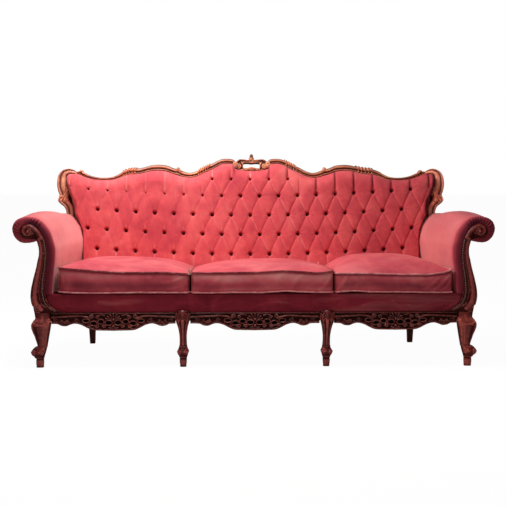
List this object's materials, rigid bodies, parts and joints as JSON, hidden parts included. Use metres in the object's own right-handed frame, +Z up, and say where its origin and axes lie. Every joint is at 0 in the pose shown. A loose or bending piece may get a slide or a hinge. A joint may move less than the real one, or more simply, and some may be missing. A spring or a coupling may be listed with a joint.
{
  "type": "sofa",
  "caption": "Long sofa with a carved show-wood frame, deep-buttoned velvet back, scrolled arms and loose seat cushions that lift out.",
  "frame": {"origin": "centre of the footprint at floor level", "axes": "+X to the right of someone who faces the front, +Y to the back, +Z up; the front looks towards -Y"},
  "size_m": [2.2668, 0.8477, 1.0236],
  "materials": {
    "carved_wood": "polished reddish-brown carved hardwood",
    "frame_timber": "plain sawn hardwood",
    "velvet": "rose-red velvet with a strong sheen",
    "hessian": "plain jute hessian and webbing",
    "black_cotton": "thin black cotton",
    "steel": "bare steel wire and screws"
  },
  "bodies": {
    "frame": {"front_leg_left": "carved_wood", "front_leg_right": "carved_wood", "front_leg_inner_left": "carved_wood", "front_leg_inner_right": "carved_wood", "rear_leg_left": "carved_wood", "rear_leg_right": "carved_wood", "apron_left": "carved_wood", "apron_middle": "carved_wood", "apron_right": "carved_wood", "arm_facing_left": "carved_wood", "arm_facing_right": "carved_wood", "arm_front_stump_left": "frame_timber", "arm_front_stump_right": "frame_timber", "arm_rear_stump_left": "frame_timber", "arm_rear_stump_right": "frame_timber", "arm_top_rail_left": "frame_timber", "arm_top_rail_right": "frame_timber", "arm_lining_left": "hessian", "arm_lining_right": "hessian", "arm_pad_left": "velvet", "arm_pad_right": "velvet", "arm_roll_left": "velvet", "arm_roll_right": "velvet", "outside_arm_left": "velvet", "outside_arm_right": "velvet", "seat_front_rail": "frame_timber", "seat_rear_rail": "frame_timber", "seat_side_rail_left": "frame_timber", "seat_side_rail_right": "frame_timber", "seat_cross_rail_left": "frame_timber", "seat_cross_rail_right": "frame_timber", "corner_blocks": "frame_timber", "corner_block_screws": "steel", "seat_webbing": "hessian", "seat_springs": "steel", "spring_cover": "hessian", "seat_deck": "velvet", "front_border": "velvet", "dust_cover": "black_cotton", "crest_left": "carved_wood", "crest_right": "carved_wood", "crest_center": "carved_wood", "back_post_left": "carved_wood", "back_post_right": "carved_wood", "back_stile_left": "frame_timber", "back_stile_right": "frame_timber", "back_top_rail": "frame_timber", "back_bottom_rail": "frame_timber", "back_upright_left": "frame_timber", "back_upright_right": "frame_timber", "back_webbing": "hessian", "back_pad": "velvet", "back_buttons": "velvet", "outside_back": "velvet"},
    "left_cushion": {"cushion_left": "velvet"},
    "middle_cushion": {"cushion_middle": "velvet"},
    "right_cushion": {"cushion_right": "velvet"}
  },
  "joints": [
    {"name": "lift_left", "type": "slide", "parent": "frame", "child": "left_cushion", "axis": [0, 0, 1], "range_m": [0, 0.3]},
    {"name": "lift_middle", "type": "slide", "parent": "frame", "child": "middle_cushion", "axis": [0, 0, 1], "range_m": [0, 0.3]},
    {"name": "lift_right", "type": "slide", "parent": "frame", "child": "right_cushion", "axis": [0, 0, 1], "range_m": [0, 0.3]}
  ]
}
